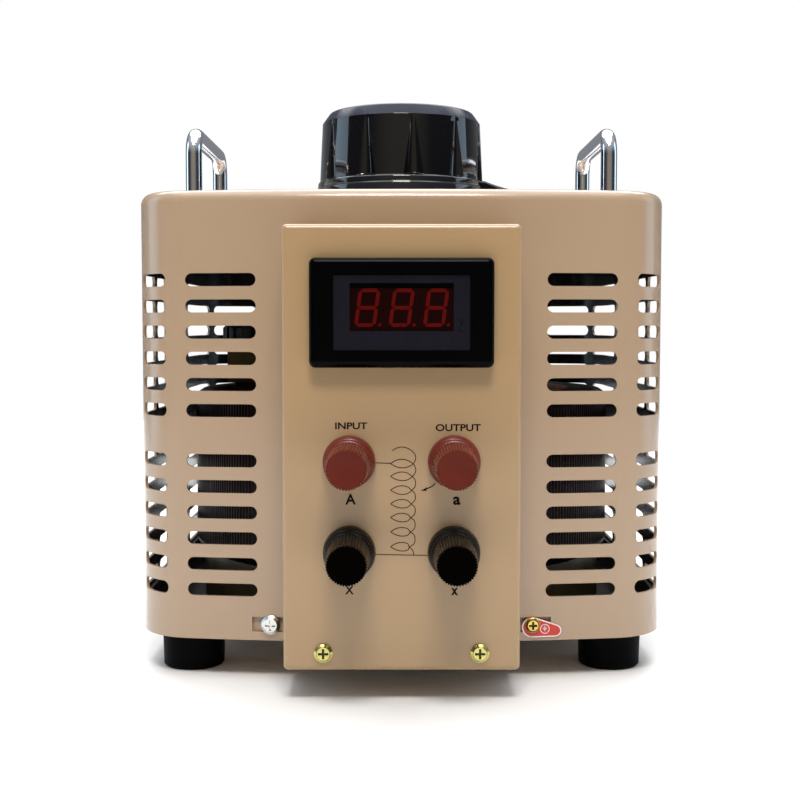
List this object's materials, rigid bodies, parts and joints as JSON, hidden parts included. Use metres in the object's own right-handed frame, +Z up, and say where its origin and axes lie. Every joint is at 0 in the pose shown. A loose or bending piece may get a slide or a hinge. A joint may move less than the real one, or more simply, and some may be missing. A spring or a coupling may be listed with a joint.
{
  "type": "variable autotransformer",
  "caption": "Bench variable autotransformer: a slotted sheet casing with carrying handles, a fluted dial knob that sweeps a carbon brush round a toroid, a panel voltmeter and binding posts.",
  "frame": {"origin": "on the floor, under the middle of the whole object's box", "axes": "+X right as seen from the front, +Y from the front panel to the rear, +Z up; the dial turns about +Z"},
  "size_m": [0.212, 0.256, 0.2372],
  "materials": {
    "casing_paint": "satin",
    "tray_steel": "satin",
    "bracket_zinc": "satin",
    "handle_chrome": "polished",
    "bright_zinc": "satin",
    "yellow_zinc": "satin",
    "terminal_brass": "satin",
    "label_red": "gloss",
    "foot_rubber": "matte",
    "dial_aluminium": "satin",
    "cast_aluminium": "matte",
    "shaft_steel": "satin",
    "core_steel": "matte",
    "cheek_card": "matte",
    "winding_enamel": "gloss",
    "laminated_board": "satin",
    "bush_bronze": "satin",
    "knob_black": "gloss",
    "meter_plastic": "satin",
    "meter_tint": "gloss",
    "led_red": "gloss",
    "board_green": "satin",
    "post_red": "gloss",
    "post_black": "gloss",
    "insulator_black": "satin",
    "lead_red": "satin",
    "lead_black": "satin",
    "brush_carbon": "matte"
  },
  "bodies": {
    "housing": {"casing": "casing_paint", "base_plate": "tray_steel", "front_panel": "casing_paint", "panel_foot_bracket": "bracket_zinc", "panel_top_bracket": "bracket_zinc", "panel_screws": "yellow_zinc", "casing_screws": "bright_zinc", "earth_screw": "terminal_brass", "earth_label": "label_red", "rubber_feet": "foot_rubber", "foot_screws": "bright_zinc", "handle_left": "handle_chrome", "handle_right": "handle_chrome", "handle_nuts": "bright_zinc", "dial_plate": "dial_aluminium", "stop_post": "shaft_steel", "core": "core_steel", "core_cheeks": "cheek_card", "winding": "winding_enamel", "base_insulator": "laminated_board", "bearing_tube": "cast_aluminium", "lower_bush": "bush_bronze", "upper_bush": "bush_bronze", "clamp_ring": "cast_aluminium", "clamp_bolts": "bright_zinc", "clamp_nuts": "bright_zinc", "meter_case": "meter_plastic", "meter_window": "meter_tint", "led_display": "led_red", "meter_board": "board_green", "meter_clips": "meter_plastic", "post_collars_red": "post_red", "post_collars_black": "post_black", "post_studs": "terminal_brass", "rear_insulators": "insulator_black", "post_nuts": "terminal_brass", "solder_tags": "terminal_brass", "lead_live": "lead_red", "lead_neutral": "lead_black", "lead_link": "lead_black", "lead_brush": "lead_red", "lead_meter": "lead_black"},
    "rotor": {"shaft": "shaft_steel", "knob": "knob_black", "grub_screws": "shaft_steel", "brush_hub": "cast_aluminium", "brush_disc": "dial_aluminium", "brush_holder": "terminal_brass", "brush_cap": "insulator_black", "brush_spring": "shaft_steel"},
    "brush_block": {"carbon_brush": "brush_carbon"},
    "clamp_input_live": {"washer_input_live": "terminal_brass"},
    "cap_input_live": {"cap_input_live": "post_red"},
    "clamp_input_neutral": {"washer_input_neutral": "terminal_brass"},
    "cap_input_neutral": {"cap_input_neutral": "post_black"},
    "clamp_output_live": {"washer_output_live": "terminal_brass"},
    "cap_output_live": {"cap_output_live": "post_red"},
    "clamp_output_neutral": {"washer_output_neutral": "terminal_brass"},
    "cap_output_neutral": {"cap_output_neutral": "post_black"}
  },
  "joints": [
    {"name": "dial_turn", "type": "hinge", "parent": "housing", "child": "rotor", "pos_m": [0, 0.028, 0.2], "axis": [0, 0, 1], "range_deg": [-70, 250]},
    {"name": "brush_travel", "type": "slide", "parent": "rotor", "child": "brush_block", "axis": [0, 0, 1], "range_m": [0, 0.002], "stiffness_N_per_m": 400, "springref_m": -0.004, "deforming": ["brush_spring"]},
    {"name": "input_live_rise", "type": "slide", "parent": "housing", "child": "clamp_input_live", "axis": [0, -1, 0], "range_m": [0, 0.0031]},
    {"name": "input_live_screw", "type": "hinge", "parent": "clamp_input_live", "child": "cap_input_live", "pos_m": [-0.0193, -0.112, 0.0902], "axis": [0, -1, 0], "range_deg": [0, 1080]},
    {"name": "input_neutral_rise", "type": "slide", "parent": "housing", "child": "clamp_input_neutral", "axis": [0, -1, 0], "range_m": [0, 0.0031]},
    {"name": "input_neutral_screw", "type": "hinge", "parent": "clamp_input_neutral", "child": "cap_input_neutral", "pos_m": [-0.0193, -0.112, 0.0567], "axis": [0, -1, 0], "range_deg": [0, 1080]},
    {"name": "output_live_rise", "type": "slide", "parent": "housing", "child": "clamp_output_live", "axis": [0, -1, 0], "range_m": [0, 0.0031]},
    {"name": "output_live_screw", "type": "hinge", "parent": "clamp_output_live", "child": "cap_output_live", "pos_m": [0.0193, -0.112, 0.0902], "axis": [0, -1, 0], "range_deg": [0, 1080]},
    {"name": "output_neutral_rise", "type": "slide", "parent": "housing", "child": "clamp_output_neutral", "axis": [0, -1, 0], "range_m": [0, 0.0031]},
    {"name": "output_neutral_screw", "type": "hinge", "parent": "clamp_output_neutral", "child": "cap_output_neutral", "pos_m": [0.0193, -0.112, 0.0567], "axis": [0, -1, 0], "range_deg": [0, 1080]}
  ],
  "couplings": [
    {"joint": "input_live_rise", "follows": "input_live_screw", "m_per_rad": 0.00015915},
    {"joint": "input_neutral_rise", "follows": "input_neutral_screw", "m_per_rad": 0.00015915},
    {"joint": "output_live_rise", "follows": "output_live_screw", "m_per_rad": 0.00015915},
    {"joint": "output_neutral_rise", "follows": "output_neutral_screw", "m_per_rad": 0.00015915}
  ]
}
